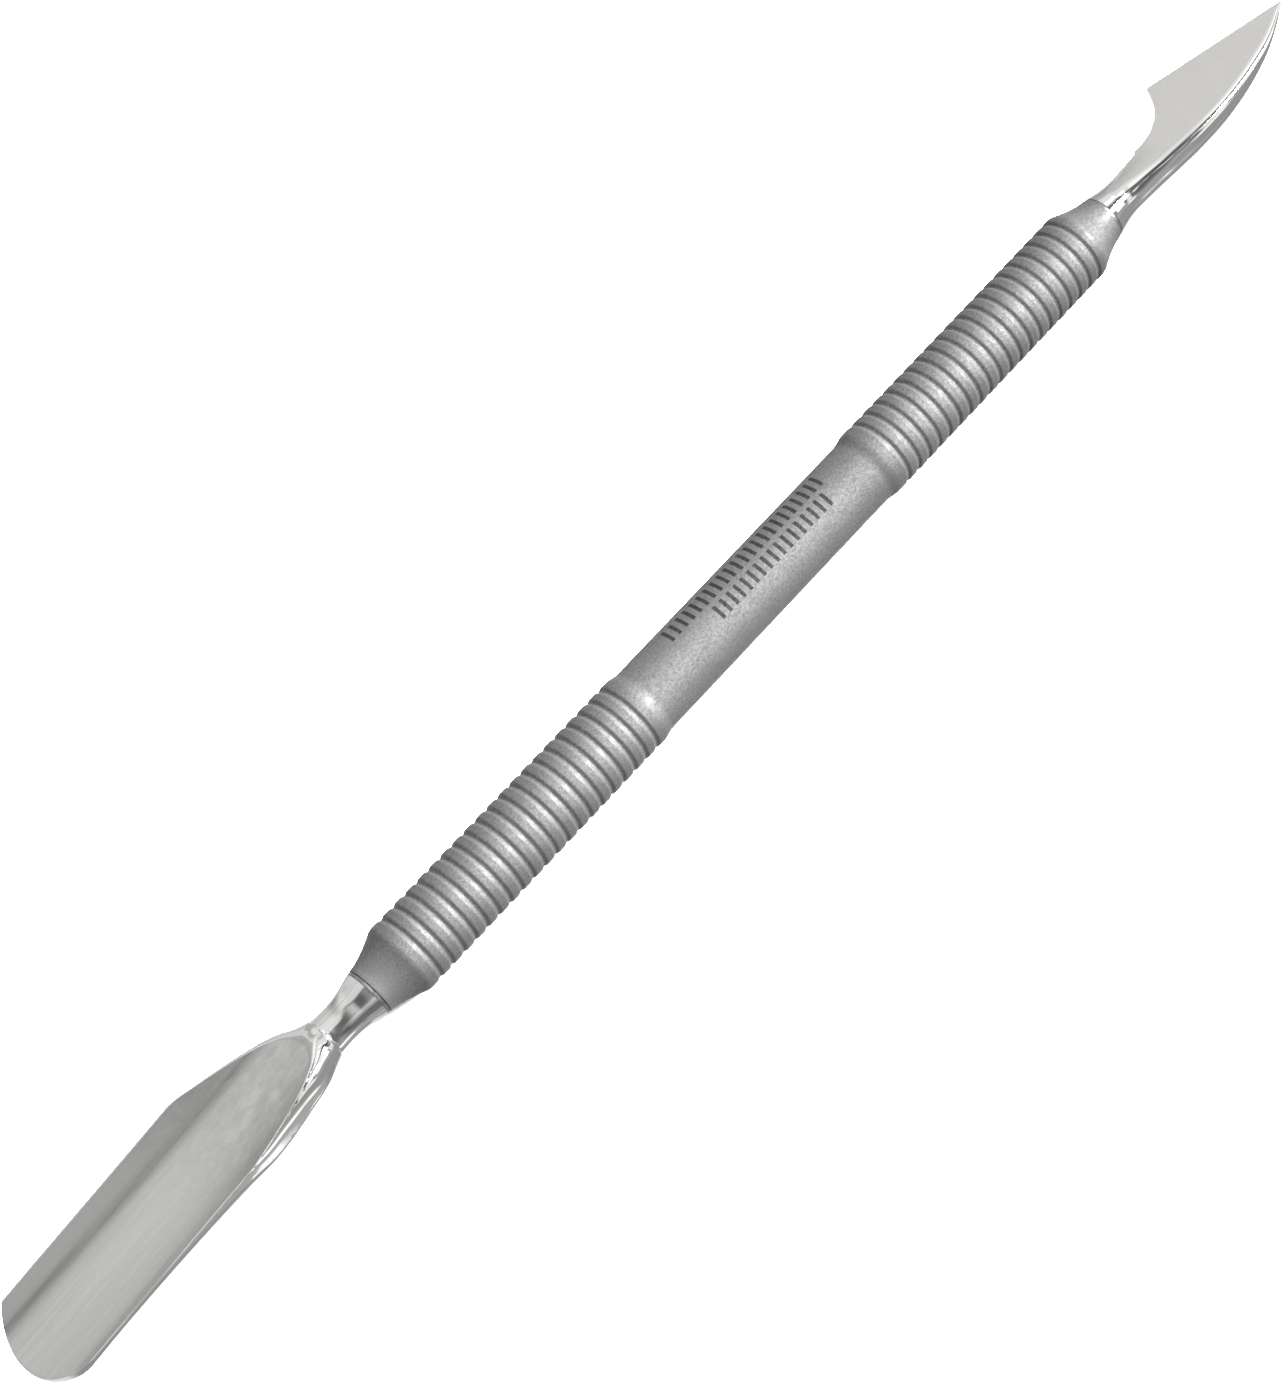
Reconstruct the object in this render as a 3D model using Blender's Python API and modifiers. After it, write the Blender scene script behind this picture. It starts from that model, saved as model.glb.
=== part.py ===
"""Double-ended cuticle pusher: a ribbed hollow handle, a hollow-ground pusher and a small ground knife.

Frame: the tool lies on its handle with both working faces up (+Z). X runs along the handle's axis, from the
pusher (-X) to the knife (+X), and the knife's cutting edge is on the +Y side. The origin is on the table, under
the middle of the tool's box. The dimensions below count along the tool from the middle of its handle.
"""

import math

import bmesh
import bpy
from mathutils import Matrix, Vector

MM = 0.001

# Handle: a turned tube with two grooved grips and a smooth waist.
HANDLE_HALF = 41.0 * MM
CREST_RADIUS = 3.0 * MM
WAIST_RADIUS = 2.8 * MM
TUBE_END_RADIUS = 2.02 * MM
BORE_RADIUS = 1.5 * MM
TAPER_LENGTH = 3.0 * MM
TAPER_POWER = 1.5
GROOVES_PER_GRIP = 20
GROOVE_PITCH = 1.2 * MM
GROOVE_WIDTH = 0.5 * MM
GROOVE_DEPTH = 0.14 * MM
FIRST_GROOVE = 14.2 * MM
SHOULDER_OUTER = 13.3 * MM
SHOULDER_INNER = 12.1 * MM
TURNED_SEGMENTS = 24

# Joint between the handle and each end: a braze ring and a tang that runs into the bore.
RING_GAP = 0.03 * MM
RING_THICKNESS = 0.25 * MM
TANG_RADIUS = 1.2 * MM
TANG_DEPTH = 8.0 * MM
NECK_START = HANDLE_HALF + 2 * RING_GAP + RING_THICKNESS

# Pusher: the hollow of the face is a cylinder that leaves the blank at the apex, above the neck.
HOLLOW_RADIUS = 8.0 * MM
HOLLOW_TILT = math.radians(5.8)
HOLLOW_APEX = Vector((-46.3 * MM, 0.0, 1.55 * MM))
PUSHER_TIP = 74.94 * MM
TIP_RADIUS = 5.0 * MM
TIP_OFFSET = 0.3 * MM

# Knife: a flat ground face, a round notch behind the heel and a straight cutting edge.
KNIFE_TILT = math.radians(3.5)
KNIFE_FACE_POINT = Vector((46.3 * MM, 0.0, 1.28 * MM))
EDGE_LAND = 0.08 * MM
NOTCH_RADIUS = 6.2 * MM
NOTCH_CENTRE = Vector((47.6 * MM, 7.55 * MM, 0.0))

RING_POINTS = 32

# Waisted neck of both ends: distance from the handle's middle and radius, in mm.
PUSHER_NECK = ((41.9, 1.87), (42.6, 1.68), (43.4, 1.55), (44.3, 1.51), (45.1, 1.55), (45.6, 1.62))
KNIFE_NECK = ((41.9, 1.83), (42.6, 1.67), (43.4, 1.56), (44.2, 1.53))

# Pusher blank: distance, half width, height of the widest line, depth below it, rise above it, and the
# power of the upper half's outline (2 is an ellipse, more is boxier), in mm.
PUSHER_BLANK = (
    (45.6, 1.62, 0.00, 1.62, 1.62, 2.0),
    (46.3, 2.05, 0.02, 1.62, 1.56, 2.0),
    (47.4, 2.66, 0.12, 1.70, 1.68, 2.5),
    (49.8, 3.20, -0.05, 1.53, 2.35, 4.3),
    (52.0, 3.70, 0.05, 1.63, 2.55, 7.0),
    (54.1, 4.16, 0.55, 2.13, 2.10, 8.0),
    (56.3, 4.47, 1.35, 2.93, 1.60, 8.0),
    (61.0, 4.45, 1.20, 2.78, 1.60, 8.0),
    (67.5, 4.45, 0.65, 2.24, 1.60, 8.0),
    (72.0, 4.45, 0.00, 1.62, 1.60, 8.0),
    (75.5, 4.45, -0.45, 1.25, 1.60, 8.0),
)

# Knife blank: distance, centre of the round spine across and up, its radius, and the reach of the blade
# from the axis, in mm. A reach of 0 leaves the round spine alone.
KNIFE_BLANK = (
    (44.9, 0.00, 0.00, 1.56, 0.00),
    (46.6, 0.00, 0.00, 1.62, 0.00),
    (48.2, -0.05, -0.05, 1.66, 5.00),
    (49.8, -0.10, -0.12, 1.66, 5.78),
    (52.0, -0.21, -0.21, 1.60, 5.29),
    (54.7, -0.25, -0.30, 1.46, 4.70),
    (58.0, -0.12, -0.35, 1.17, 3.97),
    (60.4, 0.15, -0.34, 0.91, 3.44),
    (62.7, 0.58, -0.25, 0.65, 2.93),
    (65.2, 1.34, -0.12, 0.33, 2.38),
    (66.8, 1.93, -0.05, 0.06, 2.00),
)


def clear_scene():
    """Remove every object, so that the script can run again in an open file."""
    for item in list(bpy.data.objects):
        bpy.data.objects.remove(item, do_unlink=True)


def new_collection(name):
    """Make a collection and link it to the scene."""
    collection = bpy.data.collections.new(name)
    bpy.context.scene.collection.children.link(collection)
    return collection


def metal(name, colour, roughness):
    """Make a plain metallic material."""
    material = bpy.data.materials.new(name)
    material.use_nodes = True
    shader = material.node_tree.nodes["Principled BSDF"]
    shader.inputs["Base Color"].default_value = (*colour, 1.0)
    shader.inputs["Metallic"].default_value = 1.0
    shader.inputs["Roughness"].default_value = roughness
    return material


def mesh_object(name, bm, collection, material=None):
    """Turn a bmesh into an object in the given collection."""
    bmesh.ops.recalc_face_normals(bm, faces=bm.faces)
    mesh = bpy.data.meshes.new(name)
    bm.to_mesh(mesh)
    bm.free()
    mesh.shade_smooth()
    mesh.set_sharp_from_angle(angle=math.radians(35.0))
    item = bpy.data.objects.new(name, mesh)
    collection.objects.link(item)
    if material is not None:
        mesh.materials.append(material)
    return item


def as_cutter(item):
    """Keep a cutter out of the render and show it as wire."""
    item.hide_render = True
    item.display_type = "WIRE"
    return item


def cut(item, cutter, operation="DIFFERENCE"):
    """Add an exact Boolean modifier."""
    modifier = item.modifiers.new(cutter.name, "BOOLEAN")
    modifier.operation = operation
    modifier.solver = "EXACT"
    modifier.object = cutter


def handle_outline():
    """Outer profile of the handle as (radius, height) pairs, from the +X end down to the -X end."""
    half = []
    steps = 5
    for i in range(steps):
        t = i / steps
        radius = TUBE_END_RADIUS + (CREST_RADIUS - TUBE_END_RADIUS) * t ** TAPER_POWER
        half.append((radius, HANDLE_HALF - t * TAPER_LENGTH))
    half.append((CREST_RADIUS, HANDLE_HALF - TAPER_LENGTH))
    for i in reversed(range(GROOVES_PER_GRIP)):
        centre = FIRST_GROOVE + i * GROOVE_PITCH
        half.append((CREST_RADIUS, centre + GROOVE_WIDTH / 2))
        half.append((CREST_RADIUS - GROOVE_DEPTH, centre))
        half.append((CREST_RADIUS, centre - GROOVE_WIDTH / 2))
    for i in range(4):
        t = i / 3
        drop = (1 - math.cos(math.pi * t)) / 2
        radius = CREST_RADIUS + (WAIST_RADIUS - CREST_RADIUS) * drop
        half.append((radius, SHOULDER_OUTER + (SHOULDER_INNER - SHOULDER_OUTER) * t))
    return half + [(radius, -height) for radius, height in reversed(half)]


def turned(name, outline, axis, collection, material):
    """Revolve a closed (radius, height) outline about the tool's axis. Its flats touch the true circle."""
    bm = bmesh.new()
    corner = 1.0 / math.cos(math.pi / TURNED_SEGMENTS)
    verts = [bm.verts.new((radius * corner, 0.0, height)) for radius, height in outline]
    for i, vert in enumerate(verts):
        bm.edges.new((vert, verts[(i + 1) % len(verts)]))
    mesh = bpy.data.meshes.new(name)
    bm.to_mesh(mesh)
    bm.free()
    mesh.materials.append(material)
    item = bpy.data.objects.new(name, mesh)
    collection.objects.link(item)
    item.parent = axis
    item.rotation_euler = (0.0, 0.0, math.pi / TURNED_SEGMENTS)
    screw = item.modifiers.new("turn", "SCREW")
    screw.axis = "Z"
    screw.angle = math.tau
    screw.steps = TURNED_SEGMENTS
    screw.render_steps = TURNED_SEGMENTS
    screw.use_merge_vertices = True
    screw.merge_threshold = 0.000001
    screw.use_smooth_shade = True
    return item


def make_handle(axis, collection, material):
    """The hollow handle, with a straight bore from end to end."""
    bore = [(BORE_RADIUS, -HANDLE_HALF), (BORE_RADIUS, HANDLE_HALF)]
    return turned("handle_tube", handle_outline() + bore, axis, collection, material)


def make_seam_ring(name, side, radius, axis, collection, material):
    """The braze ring between the handle's end and the neck. Side is +1 at the knife, -1 at the pusher."""
    low = HANDLE_HALF + RING_GAP
    high = low + RING_THICKNESS
    if side < 0:
        low, high = -high, -low
    outline = [(radius, high), (radius, low), (BORE_RADIUS, low), (BORE_RADIUS, high)]
    return turned(name, outline, axis, collection, material)


def between(stations, x):
    """Smooth cubic through a table of stations: each row is a distance and the values there."""
    last = len(stations) - 1
    i = max(k for k in range(last) if k == 0 or stations[k][0] <= x)
    step = stations[i + 1][0] - stations[i][0]
    t = (x - stations[i][0]) / step
    values = []
    for column in range(1, len(stations[0])):
        start = stations[i][column]
        end = stations[i + 1][column]
        left = end - start
        right = end - start
        if i > 0:
            slope = (start - stations[i - 1][column]) / (stations[i][0] - stations[i - 1][0]) * step
            left = (left + slope) / 2 if left * slope > 0 else 0.0
        if i + 2 <= last:
            slope = (stations[i + 2][column] - end) / (stations[i + 2][0] - stations[i + 1][0]) * step
            right = (right + slope) / 2 if right * slope > 0 else 0.0
        a = 2 * t ** 3 - 3 * t ** 2 + 1
        b = t ** 3 - 2 * t ** 2 + t
        c = t ** 3 - t ** 2
        values.append(start * a + left * b + end * (1 - a) + right * c)
    return values


def distances(stations, per_span):
    """Distances along a station table, with the given number of steps in each span."""
    found = []
    for row, following in zip(stations, stations[1:]):
        for i in range(per_span):
            found.append(row[0] + (following[0] - row[0]) * i / per_span)
    return found + [stations[-1][0]]


def circle_section(radius):
    """Points of a round section as (across, up) pairs, in mm."""
    turn = [math.tau * k / RING_POINTS for k in range(RING_POINTS)]
    return [(radius * math.cos(a), radius * math.sin(a)) for a in turn]


def pusher_section(x):
    """Section of the pusher blank: half an ellipse below and a boxier half above."""
    width, middle, depth, rise, power = between(PUSHER_BLANK, x)
    points = []
    for k in range(RING_POINTS):
        angle = math.tau * k / RING_POINTS
        c = math.cos(angle)
        s = math.sin(angle)
        if k > RING_POINTS // 2:
            points.append((width * c, middle + depth * s))
        else:
            shape = 2.0 / power
            across = math.copysign(abs(c) ** shape, c) if abs(c) > 1e-9 else 0.0
            points.append((width * across, middle + rise * abs(s) ** shape))
    return points


def knife_face_height(x):
    """Height of the knife's flat face above the axis at a distance from the handle's middle, in mm."""
    run = x - KNIFE_FACE_POINT.x / MM
    return KNIFE_FACE_POINT.z / MM - run * math.tan(KNIFE_TILT)


def knife_section(x):
    """Section of the knife blank: a round spine drawn out by tangents to a thin edge."""
    across, up, radius, reach = between(KNIFE_BLANK, x)
    edge = Vector((reach - across, knife_face_height(x) - EDGE_LAND / MM - up))
    far = max(edge.length, radius)
    aim = math.atan2(edge.y, edge.x)
    spread = math.acos(radius / far)
    points = []
    for k in range(RING_POINTS):
        turn = math.tau * k / RING_POINTS
        away = min(turn, math.tau - turn)
        length = radius / math.cos(spread - away) if away < spread else radius
        points.append((across + length * math.cos(aim + turn), up + length * math.sin(aim + turn)))
    return points


def aligned(sections):
    """Turn each section's list so that its points line up with the section before."""
    lined = [sections[0]]
    for section in sections[1:]:
        before = lined[-1]

        def twist(shift):
            return sum((section[(k + shift) % RING_POINTS][0] - before[k][0]) ** 2
                       + (section[(k + shift) % RING_POINTS][1] - before[k][1]) ** 2
                       for k in range(RING_POINTS))

        best = min(range(RING_POINTS), key=twist)
        lined.append(section[best:] + section[:best])
    return lined


def loft(name, places, sections, side, collection, material):
    """Skin closed sections placed along X. Places are distances from the middle in mm."""
    bm = bmesh.new()
    rings = []
    for place, section in zip(places, aligned(sections)):
        rings.append([bm.verts.new((side * place * MM, y * MM, z * MM)) for y, z in section])
    for ring, following in zip(rings, rings[1:]):
        for k in range(RING_POINTS):
            after = (k + 1) % RING_POINTS
            bm.faces.new((ring[k], ring[after], following[after], following[k]))
    bm.faces.new(rings[0])
    bm.faces.new(rings[-1])
    return mesh_object(name, bm, collection, material)


def tang_and_neck(neck):
    """Places and round sections of the tang and the neck that follows it."""
    start = NECK_START / MM
    places = [(HANDLE_HALF - TANG_DEPTH) / MM, start, start]
    radii = [TANG_RADIUS / MM, TANG_RADIUS / MM, neck[0][1] + 0.1]
    for place, radius in neck:
        places.append(place)
        radii.append(radius)
    return places, [circle_section(radius) for radius in radii]


def hollow_cutter(collection):
    """The cylinder that grinds the pusher's hollow face, tilted down towards the tip."""
    length = 34.0 * MM
    bm = bmesh.new()
    bmesh.ops.create_cone(bm, cap_ends=True, segments=128, radius1=HOLLOW_RADIUS, radius2=HOLLOW_RADIUS,
                          depth=length)
    bmesh.ops.transform(bm, matrix=Matrix.Rotation(math.pi / 2, 4, "Y"), verts=bm.verts)
    item = mesh_object("hollow_cutter", bm, collection)
    along = Vector((-math.cos(HOLLOW_TILT), 0.0, -math.sin(HOLLOW_TILT)))
    upright = Vector((-math.sin(HOLLOW_TILT), 0.0, math.cos(HOLLOW_TILT)))
    item.location = HOLLOW_APEX + upright * HOLLOW_RADIUS + along * (length / 2 - 2.0 * MM)
    item.rotation_euler = (0.0, -HOLLOW_TILT, 0.0)
    return as_cutter(item)


def tip_cutter(collection):
    """Plan outline of the pusher end, with its rounded tip, drawn tall. The blank is kept inside it."""
    reach = PUSHER_TIP - TIP_RADIUS
    height = 12.0 * MM
    steps = 40
    outline = []
    for i in range(steps + 1):
        angle = math.pi / 2 - math.pi * i / steps
        outline.append((-reach - TIP_RADIUS * math.cos(angle), TIP_OFFSET + TIP_RADIUS * math.sin(angle)))
    outline.append((0.0, TIP_OFFSET - TIP_RADIUS))
    outline.append((0.0, TIP_OFFSET + TIP_RADIUS))
    bm = bmesh.new()
    face = bm.faces.new([bm.verts.new((x, y, -height / 2)) for x, y in outline])
    walls = bmesh.ops.extrude_face_region(bm, geom=[face])
    raised = [part for part in walls["geom"] if isinstance(part, bmesh.types.BMVert)]
    bmesh.ops.translate(bm, verts=raised, vec=(0.0, 0.0, height))
    return as_cutter(mesh_object("tip_cutter", bm, collection))


def face_cutter(collection):
    """The block whose underside grinds the knife's flat face."""
    size = Vector((28.0 * MM, 16.0 * MM, 6.0 * MM))
    bm = bmesh.new()
    bmesh.ops.create_cube(bm, size=1.0)
    bmesh.ops.scale(bm, vec=size, verts=bm.verts)
    item = mesh_object("face_cutter", bm, collection)
    normal = Vector((math.sin(KNIFE_TILT), 0.0, math.cos(KNIFE_TILT)))
    along = Vector((math.cos(KNIFE_TILT), 0.0, -math.sin(KNIFE_TILT)))
    item.location = KNIFE_FACE_POINT + normal * size.z / 2 + along * 10.0 * MM
    item.rotation_euler = (0.0, KNIFE_TILT, 0.0)
    return as_cutter(item)


def notch_cutter(collection):
    """The wheel that grinds the round notch behind the knife's heel."""
    bm = bmesh.new()
    bmesh.ops.create_cone(bm, cap_ends=True, segments=96, radius1=NOTCH_RADIUS, radius2=NOTCH_RADIUS,
                          depth=12.0 * MM)
    item = mesh_object("notch_cutter", bm, collection)
    item.location = NOTCH_CENTRE
    return as_cutter(item)


def make_pusher(collection, cutters, material):
    """The pusher end: tang, waisted neck, shoulder and hollow-ground blade, in one forging."""
    places, sections = tang_and_neck(PUSHER_NECK[:-1])
    for x in distances(PUSHER_BLANK, 3):
        places.append(x)
        sections.append(pusher_section(x))
    pusher = loft("pusher_end", places, sections, -1, collection, material)
    cut(pusher, hollow_cutter(cutters))
    cut(pusher, tip_cutter(cutters), "INTERSECT")
    return pusher


def make_knife(collection, cutters, material):
    """The knife end: tang, waisted neck, round spine and flat-ground blade, in one forging."""
    places, sections = tang_and_neck(KNIFE_NECK)
    for x in distances(KNIFE_BLANK, 3):
        places.append(x)
        sections.append(knife_section(x))
    knife = loft("knife_end", places, sections, 1, collection, material)
    cut(knife, face_cutter(cutters))
    cut(knife, notch_cutter(cutters))
    return knife


def set_origin(root, collection):
    """Move the tool so that the origin lies under the middle of its box, at its lowest point."""
    graph = bpy.context.evaluated_depsgraph_get()
    points = []
    for item in collection.objects:
        if item.type == "MESH":
            evaluated = item.evaluated_get(graph)
            points += [evaluated.matrix_world @ vert.co for vert in evaluated.data.vertices]
    low = [min(point[k] for point in points) for k in range(3)]
    high = [max(point[k] for point in points) for k in range(3)]
    root.location = (-(low[0] + high[0]) / 2, -(low[1] + high[1]) / 2, -low[2])


def main():
    """Build the tool."""
    clear_scene()
    tool = new_collection("cuticle_pusher")
    cutters = new_collection("cutters")
    blasted = metal("blasted_steel", (0.42, 0.41, 0.42), 0.55)
    polished = metal("polished_steel", (0.72, 0.72, 0.71), 0.16)
    braze = metal("braze_alloy", (0.36, 0.35, 0.34), 0.4)
    root = bpy.data.objects.new("tool_origin", None)
    tool.objects.link(root)
    axis = bpy.data.objects.new("tool_axis", None)
    axis.rotation_euler = (0.0, math.pi / 2, 0.0)
    axis.parent = root
    tool.objects.link(axis)
    make_handle(axis, tool, blasted)
    make_seam_ring("pusher_seam_ring", -1, PUSHER_NECK[0][1] * MM + 0.1 * MM, axis, tool, braze)
    make_seam_ring("knife_seam_ring", 1, KNIFE_NECK[0][1] * MM + 0.1 * MM, axis, tool, braze)
    make_pusher(tool, cutters, polished)
    make_knife(tool, cutters, polished)
    for item in list(tool.objects) + list(cutters.objects):
        if item.type == "MESH" and item.parent is None:
            item.parent = root
    set_origin(root, tool)


main()
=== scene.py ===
"""Looks of the double-ended cuticle pusher: fine meshes, metal finishes, studio light and camera.

Everything is drawn in the handle frame, in mm: X along the handle from the pusher to the knife, +Y to the
side of the knife's cutting edge, +Z to the side that both working faces look to, and zero at the handle's
middle. An object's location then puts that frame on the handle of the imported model.
"""

import math

import bmesh
import bpy
import numpy as np
from mathutils import Matrix, Vector


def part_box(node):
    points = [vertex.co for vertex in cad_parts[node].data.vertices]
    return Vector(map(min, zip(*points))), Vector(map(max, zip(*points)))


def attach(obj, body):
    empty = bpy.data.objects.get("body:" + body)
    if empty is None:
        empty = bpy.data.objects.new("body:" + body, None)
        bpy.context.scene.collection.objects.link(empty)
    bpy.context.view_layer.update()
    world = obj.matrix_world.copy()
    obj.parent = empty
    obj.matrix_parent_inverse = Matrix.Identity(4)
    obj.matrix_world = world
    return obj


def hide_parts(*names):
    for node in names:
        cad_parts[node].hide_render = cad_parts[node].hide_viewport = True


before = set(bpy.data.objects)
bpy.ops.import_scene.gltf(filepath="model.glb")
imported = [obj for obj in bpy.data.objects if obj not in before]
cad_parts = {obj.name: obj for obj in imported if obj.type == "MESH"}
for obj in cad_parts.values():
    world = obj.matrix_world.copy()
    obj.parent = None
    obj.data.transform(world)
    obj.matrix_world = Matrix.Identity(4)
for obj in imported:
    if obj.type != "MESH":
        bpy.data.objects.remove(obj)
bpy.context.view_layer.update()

MM = 0.001


def handle_centre():
    """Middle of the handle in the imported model, in metres."""
    low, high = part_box("handle_tube")
    return (low + high) / 2


CENTRE = handle_centre()


def measured(node, axis, side):
    """Distance of a node's face from the handle's middle along an axis, in mm. Side is +1 or -1."""
    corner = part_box(node)[1 if side > 0 else 0]
    return side * (corner[axis] - CENTRE[axis]) / MM


# Handle, in mm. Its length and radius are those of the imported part.
HANDLE_HALF = measured("handle_tube", 0, 1)
CREST_RADIUS = measured("handle_tube", 2, 1)
WAIST_RADIUS = CREST_RADIUS - 0.2
TUBE_END_RADIUS = 2.02
BORE_RADIUS = 1.5
HANDLE_SEGMENTS = 128

# Rounded rim of the handle's end: how far back along the tool and how far below the end's radius.
RIM = ((0.0, 0.04), (0.01, 0.012))

# Concave taper between the rim and the first crest: its length in mm, the power of its climb, the share of
# it that is drawn, the share of a step left out at the rim, and the steps of it and of its soft corner.
TAPER_LENGTH = 3.0
TAPER_POWER = 1.5
TAPER_BLEND = 0.92
TAPER_LEAD = 0.3
TAPER_STEPS = 14
CORNER_STEPS = 5

# Grooves, in mm: the first one counts from the handle's middle, and the shift is towards the knife. A
# groove's points lie at shares of its half width, and a fullness below 1 widens its bottom.
GROOVES_PER_GRIP = 20
GROOVE_PITCH = 1.2
GROOVE_HALF_WIDTH = 0.33
GROOVE_DEPTH = 0.127
GROOVE_SHIFT = 0.1
GROOVE_SHARES = (1.25, 1.0, 0.8, 0.6, 0.4, 0.2)
GROOVE_FULLNESS = 0.85
FIRST_GROOVE = 14.2

# Step from the last crest down to the waist, in mm from the handle's middle.
SHOULDER_OUTER = 13.3
SHOULDER_INNER = 12.1
SHOULDER_STEPS = 9

# Plain etched ticks on the waist, in mm along the handle and in segments around it.
TICK_PITCH = 0.75
TICK_WIDTH = 0.3
TICK_ROWS = ((-8.1, 9.2, -10, 1), (-4.35, 8.45, 4, 13))

# Joints between the handle and the ends, in mm.
RING_GAP = 0.03
RING_THICKNESS = 0.25
RING_ROUNDING = 0.03
TANG_RADIUS = 1.2
TANG_CHAMFER = 0.1
TANG_DEPTH = 8.0
NECK_START = HANDLE_HALF + 2 * RING_GAP + RING_THICKNESS

# Pusher: the ground hollow is a tilted cylinder. The tip is an arc in plan.
HOLLOW_RADIUS = 8.0
HOLLOW_TILT = math.radians(5.8)
HOLLOW_APEX = (46.3, 1.55)
PUSHER_TIP = measured("pusher_end", 0, -1)
TIP_RADIUS = 5.0
TIP_OFFSET = 0.3
TIP_ROWS_START = 69.0
TIP_ROWS = 30
TIP_ROUNDING = 0.05

# Knife: a flat ground face, a round notch behind the heel and a straight cutting edge. The blade is drawn
# where it reaches past the spine's centre by more than a share of the spine's radius.
KNIFE_TILT = math.radians(3.5)
KNIFE_FACE_POINT = (46.3, 1.28)
KNIFE_POINT = measured("knife_end", 0, 1)
RUN_OUT_START = 43.6
RUN_OUT_RISE = 0.15
EDGE_LAND = 0.03
EDGE_RISE = 0.3
BLADE_SHARE = 0.5
NOTCH_RADIUS = 6.2
NOTCH_CENTRE = (47.6, 7.55)
NO_LIMIT = 1000.0

# Rounding of the ends' edges in mm, the steps that draw it, and the most that it takes of a run.
PUSHER_LIP = 0.2
KNIFE_LIP = 0.36
SHARP_EDGE = 0.05
EDGE_STEPS = 5
LIP_SHARE = 0.4

# Start of the pusher's hollow, in mm: where the ground finish starts, how much more the lip is rounded there,
# how close in height the blank and the hollow run into one another, and the length over which that fades.
FACE_START = 46.5
APEX_LIP = 0.1
APEX_BLEND = 0.42
APEX_BLEND_LENGTH = 9.0

# Half length over which the ends' outlines are eased, in mm, and the steps on each side.
EASING = 0.7
EASING_STEPS = 4

# Where the ends' sections stand: up to each distance, no further apart than the step, in mm. The knife's
# three middle stops are counted from its heel.
NECK_RIM = 0.02
PUSHER_STOPS = ((45.4, 0.12), (45.7, 0.025), (46.3, 0.05), (47.6, 0.08), (56.0, 0.14), (57.0, 0.07),
                (TIP_ROWS_START, 0.4))
KNIFE_STOPS = ((46.6, 0.1), (48.2, 0.06), (51.0, 0.12))
HEEL_STOPS = ((-0.6, 0.06), (0.0, 0.025), (0.1, 0.02))
BLADE_STOPS = ((64.0, 0.12), (KNIFE_POINT, 0.06))

# Points of a section: on the pusher's face and back, and on the knife's side, face and back. Samples are
# the points of the curves that they are spaced along: the pusher's face, wall and underside, and the knife's
# side, face and back.
PUSHER_COUNTS = (48, 132)
PUSHER_SAMPLES = (60, 90, 160)
KNIFE_COUNTS = (14, 40, 126)
KNIFE_SAMPLES = (60, 4, 420)

# Mesh limits: the merging distance and the guard beside a rounded edge in mm, the sharp angle, the halvings
# of a search, and the knife's scan in degrees: its start, step and count.
MERGE_DISTANCE = 0.0002
CORNER_GUARD = 0.015
SHARP_ANGLE = math.radians(32.0)
HALVINGS = 40
SCAN = (-80.0, 0.5, 561)

# Pusher, from the neck to the tip: distance, half width, height of the widest line, depth below it, rise
# above it, and the power of the upper half's outline (2 is an ellipse, more is boxier).
PUSHER_NECK = (
    (NECK_START, 1.97, 0.0, 1.97, 1.97, 2.0),
    (41.9, 1.84, 0.0, 1.84, 1.84, 2.0),
    (42.6, 1.66, 0.0, 1.66, 1.66, 2.0),
    (43.4, 1.55, 0.0, 1.55, 1.55, 2.0),
    (44.3, 1.51, 0.0, 1.51, 1.51, 2.0),
    (45.1, 1.55, 0.0, 1.55, 1.55, 2.0),
    (45.48, 1.60, 0.0, 1.60, 1.60, 2.0),
    (45.6, 1.70, 0.0, 1.70, 1.70, 2.0),
)
PUSHER_BLANK = (
    (45.6, 1.70, 0.00, 1.70, 1.70, 2.0),
    (46.3, 2.05, 0.00, 1.62, 1.64, 2.0),
    (47.4, 2.62, 0.01, 1.60, 1.90, 2.6),
    (49.8, 3.22, 0.03, 1.61, 2.30, 3.8),
    (52.0, 3.72, 0.12, 1.70, 2.45, 4.6),
    (54.1, 4.16, 0.55, 2.13, 2.10, 5.0),
    (56.3, 4.47, 1.35, 2.93, 1.60, 5.5),
    (61.0, 4.45, 1.20, 2.78, 1.60, 6.0),
    (67.5, 4.45, 0.65, 2.24, 1.60, 6.0),
    (72.0, 4.45, 0.00, 1.62, 1.60, 6.0),
    (75.5, 4.45, -0.45, 1.25, 1.60, 6.0),
)

# Knife, from the neck to the point: distance, centre of the round spine across and up, its radius, and the
# reach of the blade from the axis. A reach of 0 leaves the round spine alone.
KNIFE_BLANK = (
    (NECK_START, 0.00, 0.00, 1.93, 0.00),
    (41.9, 0.00, 0.00, 1.83, 0.00),
    (42.6, 0.00, 0.00, 1.67, 0.00),
    (43.4, 0.00, 0.00, 1.56, 0.00),
    (44.2, 0.00, 0.00, 1.53, 0.00),
    (44.9, 0.00, 0.00, 1.56, 0.00),
    (46.6, 0.00, 0.00, 1.62, 0.00),
    (48.2, -0.05, -0.05, 1.66, 5.00),
    (49.8, -0.10, -0.12, 1.66, 5.78),
    (52.0, -0.21, -0.21, 1.60, 5.29),
    (54.7, -0.25, -0.30, 1.46, 4.70),
    (58.0, -0.12, -0.35, 1.17, 3.97),
    (60.4, 0.15, -0.34, 0.91, 3.44),
    (62.7, 0.58, -0.25, 0.65, 2.93),
    (65.2, 1.34, -0.12, 0.33, 2.38),
    (KNIFE_POINT, 1.93, -0.05, 0.06, 2.00),
)

# Camera, in the handle frame: it looks down and along the tool from the -Y side.
CAMERA_SWING = math.radians(17.81)
CAMERA_ROLL = math.radians(35.0)
CAMERA_TURN = math.radians(46.54)
CAMERA_DISTANCE = 236.7
CAMERA_LENS = 83.41
CAMERA_SHIFT = (-0.0812, -0.0773)
SENSOR_WIDTH = 36.0

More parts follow.
